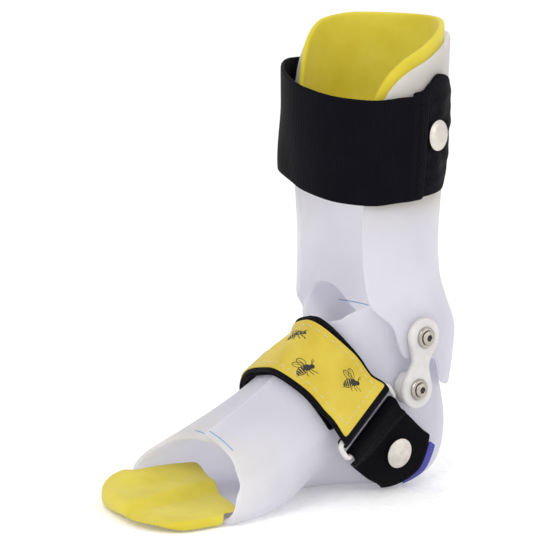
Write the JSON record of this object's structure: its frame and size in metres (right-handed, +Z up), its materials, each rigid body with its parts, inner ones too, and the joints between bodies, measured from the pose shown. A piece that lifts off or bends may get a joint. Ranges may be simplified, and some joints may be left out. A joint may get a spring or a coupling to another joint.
{
  "type": "ankle foot orthosis",
  "caption": "Child's hinged ankle foot orthosis for a right foot: translucent plastic foot and calf shells joined by flexible ankle joints, foam liner and toe pad, calf and instep straps.",
  "frame": {"origin": "on the flat sole under the ankle, where the heel stands on the floor", "axes": "+Z up the leg, -Y toward the toes, +Y toward the heel, +X to the medial (inner) side of a right foot"},
  "size_m": [0.0859, 0.198, 0.2289],
  "materials": {
    "shell_plastic": "milky translucent polypropylene, drape-formed, softly polished edges",
    "yellow_foam": "closed-cell foam, lemon yellow, matte",
    "joint_urethane": "translucent white urethane, satin",
    "screw_steel": "plain steel, lightly worn",
    "rivet_nickel": "nickel-plated snap cap",
    "black_webbing": "woven nylon webbing, near black",
    "black_plush": "brushed loop pile, black",
    "black_hook": "hook tape, black",
    "yellow_cover": "printed yellow cloth with stitched border",
    "ring_nylon": "moulded nylon, off-white",
    "tag_cloth": "indigo woven label, blank"
  },
  "bodies": {
    "foot": {"foot_shell": "shell_plastic", "toe_pad": "yellow_foam", "joint_spacer_medial": "joint_urethane", "joint_spacer_lateral": "joint_urethane", "lower_nut_medial": "screw_steel", "lower_nut_lateral": "screw_steel", "lower_screw_medial": "screw_steel", "lower_screw_lateral": "screw_steel", "lower_washer_medial": "screw_steel", "lower_washer_lateral": "screw_steel", "instep_strap": "black_webbing", "anchor_rivet": "rivet_nickel", "chafe_loop": "black_webbing", "chafe_rivet": "rivet_nickel", "strap_ring": "ring_nylon", "blank_tag": "tag_cloth", "flexure_medial": "joint_urethane", "flexure_lateral": "joint_urethane"},
    "calf": {"calf_shell": "shell_plastic", "calf_liner": "yellow_foam", "upper_nut_medial": "screw_steel", "upper_nut_lateral": "screw_steel", "upper_screw_medial": "screw_steel", "upper_screw_lateral": "screw_steel", "upper_washer_medial": "screw_steel", "upper_washer_lateral": "screw_steel", "strap_tab": "black_plush", "tab_rivet": "rivet_nickel", "hook_pad": "black_hook"},
    "closing_strap": {"calf_strap": "black_webbing"},
    "instep_flap": {"flap_backing": "black_plush", "flap_cover": "yellow_cover"}
  },
  "joints": [
    {"name": "ankle_hinge", "type": "hinge", "parent": "foot", "child": "calf", "pos_m": [0, 0.0065, 0.064], "axis": [1, 0, 0], "range_deg": [0, 15], "stiffness_Nm_per_rad": 0.6, "deforming": ["flexure_medial", "flexure_lateral"]},
    {"name": "calf_strap_open", "type": "hinge", "parent": "calf", "child": "closing_strap", "pos_m": [0.03902, 0.00519, 0.1695], "axis": [0, 0, 1], "range_deg": [0, 45]},
    {"name": "instep_flap_open", "type": "hinge", "parent": "foot", "child": "instep_flap", "pos_m": [0.03506, -0.02677, 0.04161], "axis": [-0.1138, 0.784, 0.6103], "range_deg": [0, 110]}
  ]
}
